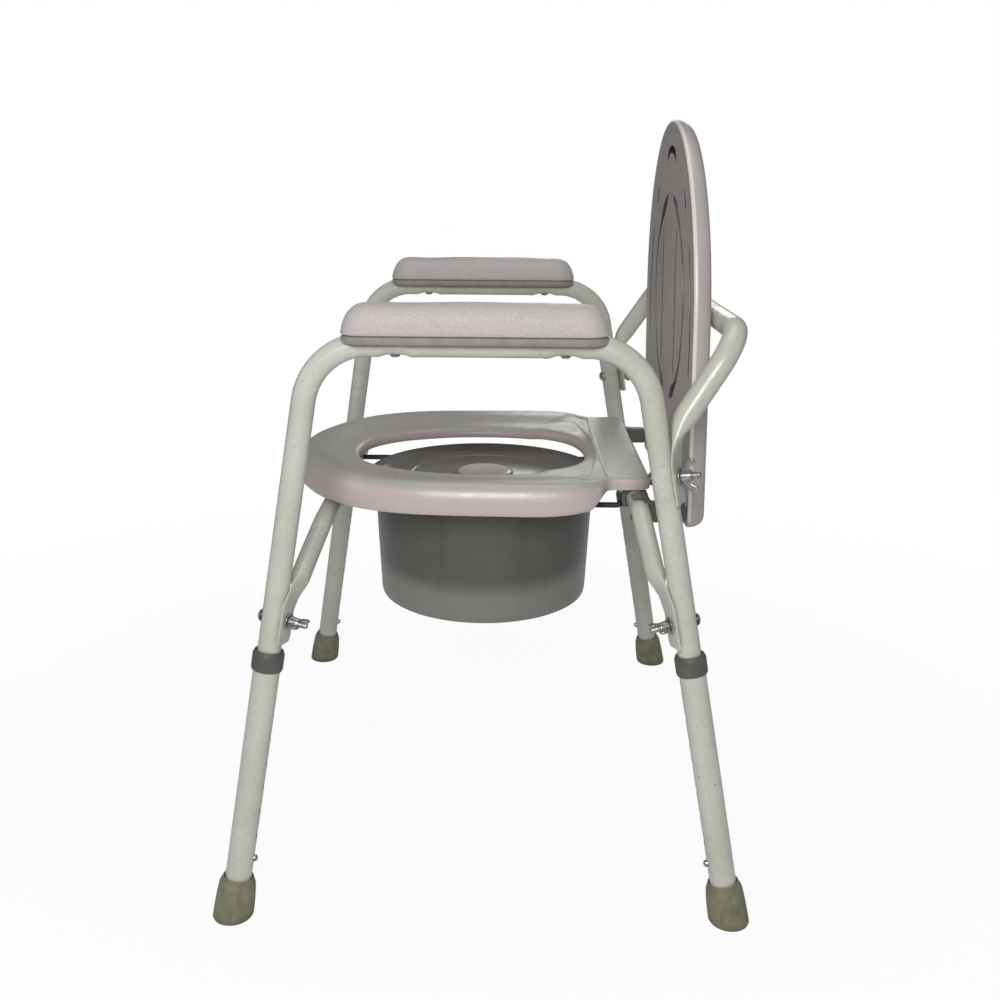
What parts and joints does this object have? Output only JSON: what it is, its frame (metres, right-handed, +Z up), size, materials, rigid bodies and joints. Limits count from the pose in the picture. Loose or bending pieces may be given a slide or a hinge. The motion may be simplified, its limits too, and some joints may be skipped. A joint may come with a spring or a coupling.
{
  "type": "commode chair",
  "caption": "Free-standing commode chair on telescopic splayed legs, with padded arms, a hinged oval seat, a lid that folds up as the backrest, and a lidded pail hung on rails.",
  "frame": {"origin": "floor level, at the centre of the four legs' footprint", "axes": "+Z up, -Y the front of the chair, +X the sitter's left"},
  "size_m": [0.648, 0.5273, 0.7571],
  "materials": {
    "frame_paint": "glossy off-white powder coat with small chips",
    "arm_pad": "fine leather-grain moulded skin",
    "seat_plastic": "semi-gloss moulded polypropylene",
    "lid_plastic": "semi-gloss blow-moulded plastic",
    "pail_plastic": "satin moulded plastic",
    "clip_plastic": "satin moulded plastic",
    "tip_rubber": "matt ribbed rubber",
    "zinc_steel": "zinc plated",
    "rail_paint": "black powder coat"
  },
  "bodies": {
    "frame": {"side_frame_left": "frame_paint", "arm_pad_left": "arm_pad", "pad_screw_front_left": "zinc_steel", "pad_screw_rear_left": "zinc_steel", "bolt_front_left": "zinc_steel", "bolt_rear_left": "zinc_steel", "bolt_back_tube_left": "zinc_steel", "washer_front_left": "zinc_steel", "washer_rear_left": "zinc_steel", "washer_back_tube_left": "zinc_steel", "pail_rail_left": "rail_paint", "side_frame_right": "frame_paint", "arm_pad_right": "arm_pad", "pad_screw_front_right": "zinc_steel", "pad_screw_rear_right": "zinc_steel", "bolt_front_right": "zinc_steel", "bolt_rear_right": "zinc_steel", "bolt_back_tube_right": "zinc_steel", "washer_front_right": "zinc_steel", "washer_rear_right": "zinc_steel", "washer_back_tube_right": "zinc_steel", "pail_rail_right": "rail_paint", "front_crossbar": "frame_paint", "rear_crossbar": "frame_paint", "back_tube": "frame_paint"},
    "leg_front_left": {"lower_leg_front_left": "frame_paint", "collar_front_left": "clip_plastic", "rubber_tip_front_left": "tip_rubber"},
    "button_front_left": {"snap_button_front_left": "zinc_steel"},
    "leg_rear_left": {"lower_leg_rear_left": "frame_paint", "collar_rear_left": "clip_plastic", "rubber_tip_rear_left": "tip_rubber"},
    "button_rear_left": {"snap_button_rear_left": "zinc_steel"},
    "leg_front_right": {"lower_leg_front_right": "frame_paint", "collar_front_right": "clip_plastic", "rubber_tip_front_right": "tip_rubber"},
    "button_front_right": {"snap_button_front_right": "zinc_steel"},
    "leg_rear_right": {"lower_leg_rear_right": "frame_paint", "collar_rear_right": "clip_plastic", "rubber_tip_rear_right": "tip_rubber"},
    "button_rear_right": {"snap_button_rear_right": "zinc_steel"},
    "nut_front_left": {"wing_nut_front_left": "zinc_steel"},
    "nut_rear_left": {"wing_nut_rear_left": "zinc_steel"},
    "nut_back_tube_left": {"wing_nut_back_tube_left": "zinc_steel"},
    "nut_front_right": {"wing_nut_front_right": "zinc_steel"},
    "nut_rear_right": {"wing_nut_rear_right": "zinc_steel"},
    "nut_back_tube_right": {"wing_nut_back_tube_right": "zinc_steel"},
    "seat": {"seat": "seat_plastic", "seat_clip_left": "clip_plastic", "seat_clip_right": "clip_plastic", "seat_rest_left": "clip_plastic", "seat_rest_right": "clip_plastic"},
    "lid": {"lid": "lid_plastic", "lid_hinge_left": "clip_plastic", "lid_hinge_right": "clip_plastic"},
    "pail": {"pail": "pail_plastic"},
    "pail_lid": {"pail_lid": "pail_plastic"}
  },
  "joints": [
    {"name": "leg_extend_front_left", "type": "slide", "parent": "frame", "child": "leg_front_left", "axis": [0.0892, -0.1572, -0.9835], "range_m": [0, 0.1524]},
    {"name": "button_press_front_left", "type": "slide", "parent": "frame", "child": "button_front_left", "axis": [-0.0142, -0.9876, 0.1565], "range_m": [0, 0.0048], "stiffness_N_per_m": 1500, "springref_m": -0.002},
    {"name": "leg_extend_rear_left", "type": "slide", "parent": "frame", "child": "leg_rear_left", "axis": [0.0889, 0.1799, -0.9797], "range_m": [0, 0.1524]},
    {"name": "button_press_rear_left", "type": "slide", "parent": "frame", "child": "button_rear_left", "axis": [-0.0162, 0.9837, 0.1791], "range_m": [0, 0.0048], "stiffness_N_per_m": 1500, "springref_m": -0.002},
    {"name": "leg_extend_front_right", "type": "slide", "parent": "frame", "child": "leg_front_right", "axis": [-0.0892, -0.1572, -0.9835], "range_m": [0, 0.1524]},
    {"name": "button_press_front_right", "type": "slide", "parent": "frame", "child": "button_front_right", "axis": [0.0142, -0.9876, 0.1565], "range_m": [0, 0.0048], "stiffness_N_per_m": 1500, "springref_m": -0.002},
    {"name": "leg_extend_rear_right", "type": "slide", "parent": "frame", "child": "leg_rear_right", "axis": [-0.0889, 0.1799, -0.9797], "range_m": [0, 0.1524]},
    {"name": "button_press_rear_right", "type": "slide", "parent": "frame", "child": "button_rear_right", "axis": [0.0162, 0.9837, 0.1791], "range_m": [0, 0.0048], "stiffness_N_per_m": 1500, "springref_m": -0.002},
    {"name": "wing_nut_turn_front_left", "type": "hinge", "parent": "frame", "child": "nut_front_left", "pos_m": [0.27682, -0.19528, 0.303], "axis": [0.2889, 0.9491, -0.1255], "continuous": true},
    {"name": "wing_nut_turn_rear_left", "type": "hinge", "parent": "frame", "child": "nut_rear_left", "pos_m": [0.27682, 0.18807, 0.303], "axis": [0.2908, -0.9454, -0.1472], "continuous": true},
    {"name": "wing_nut_turn_back_tube_left", "type": "hinge", "parent": "frame", "child": "nut_back_tube_left", "pos_m": [0.26453, 0.16319, 0.4385], "axis": [0.3913, 0.8982, 0.2004], "continuous": true},
    {"name": "wing_nut_turn_front_right", "type": "hinge", "parent": "frame", "child": "nut_front_right", "pos_m": [-0.27682, -0.19528, 0.303], "axis": [-0.2889, 0.9491, -0.1255], "continuous": true},
    {"name": "wing_nut_turn_rear_right", "type": "hinge", "parent": "frame", "child": "nut_rear_right", "pos_m": [-0.27682, 0.18807, 0.303], "axis": [-0.2908, -0.9454, -0.1472], "continuous": true},
    {"name": "wing_nut_turn_back_tube_right", "type": "hinge", "parent": "frame", "child": "nut_back_tube_right", "pos_m": [-0.26453, 0.16319, 0.4385], "axis": [-0.3913, 0.8982, 0.2004], "continuous": true},
    {"name": "seat_raise", "type": "hinge", "parent": "frame", "child": "seat", "pos_m": [0, 0.154, 0.382], "axis": [-1, 0, 0], "range_deg": [0, 91]},
    {"name": "lid_fold", "type": "hinge", "parent": "frame", "child": "lid", "pos_m": [0, 0.154, 0.382], "axis": [-1, 0, 0], "range_deg": [-92, 0]},
    {"name": "pail_lift", "type": "slide", "parent": "frame", "child": "pail", "axis": [0, 0, 1], "range_m": [0, 0.012]},
    {"name": "pail_lid_lift", "type": "slide", "parent": "pail", "child": "pail_lid", "axis": [0, 0, 1], "range_m": [0, 0.01]}
  ]
}
